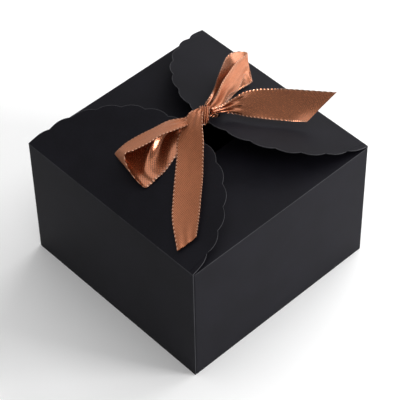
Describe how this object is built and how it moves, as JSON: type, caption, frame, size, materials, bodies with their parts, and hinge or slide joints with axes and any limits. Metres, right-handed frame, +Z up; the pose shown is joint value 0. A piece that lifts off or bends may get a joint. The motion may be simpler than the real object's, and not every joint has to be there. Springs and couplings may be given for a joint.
{
  "type": "gift box",
  "caption": "Square folded-board gift box with scalloped petal flaps that meet over the top, closed by a satin ribbon bow.",
  "frame": {"origin": "centre of the underside of the box, on the surface that it stands on", "axes": "+Z up; the front petal folds from the -Y wall and the back petal from the +Y wall; the bow's long tail lies towards +X -Y"},
  "size_m": [0.147, 0.1498, 0.127],
  "materials": {
    "board": "matt black paperboard with a fine felt texture",
    "ribbon": "copper-brown satin weave with picot edges"
  },
  "bodies": {
    "box": {"front_wall": "board", "right_wall": "board", "back_wall": "board", "left_wall": "board", "glue_tab": "board", "bottom_slot_panel": "board", "bottom_tongue_panel": "board", "bottom_left_panel": "board", "bottom_right_panel": "board"},
    "front_petal": {"front_petal": "board", "front_ribbon_strand": "ribbon"},
    "back_petal": {"back_petal": "board", "back_ribbon_strand": "ribbon"},
    "left_flap": {"left_inner_flap": "board"},
    "right_flap": {"right_inner_flap": "board"},
    "bow": {"bow_knot": "ribbon", "left_bow_loop": "ribbon", "back_bow_loop": "ribbon", "front_ribbon_tail": "ribbon", "right_ribbon_tail": "ribbon"}
  },
  "joints": [
    {"name": "front_petal_hinge", "type": "hinge", "parent": "box", "child": "front_petal", "pos_m": [0, -0.0732, 0.094], "axis": [1, 0, 0], "range_deg": [0, 95]},
    {"name": "back_petal_hinge", "type": "hinge", "parent": "box", "child": "back_petal", "pos_m": [0, 0.0732, 0.094], "axis": [-1, 0, 0], "range_deg": [0, 95]},
    {"name": "left_flap_hinge", "type": "hinge", "parent": "box", "child": "left_flap", "pos_m": [-0.0732, 0, 0.0931], "axis": [0, -1, 0], "range_deg": [0, 95]},
    {"name": "right_flap_hinge", "type": "hinge", "parent": "box", "child": "right_flap", "pos_m": [0.0732, 0, 0.0931], "axis": [0, 1, 0], "range_deg": [0, 95]},
    {"name": "bow_lift", "type": "slide", "parent": "box", "child": "bow", "axis": [0, 0, 1], "range_m": [0, 0.1331]}
  ],
  "couplings": [
    {"joint": "back_petal_hinge", "follows": "front_petal_hinge", "ratio": 1},
    {"joint": "left_flap_hinge", "follows": "front_petal_hinge", "ratio": 1},
    {"joint": "right_flap_hinge", "follows": "front_petal_hinge", "ratio": 1},
    {"joint": "bow_lift", "follows": "front_petal_hinge", "m_per_rad": 0.08}
  ]
}
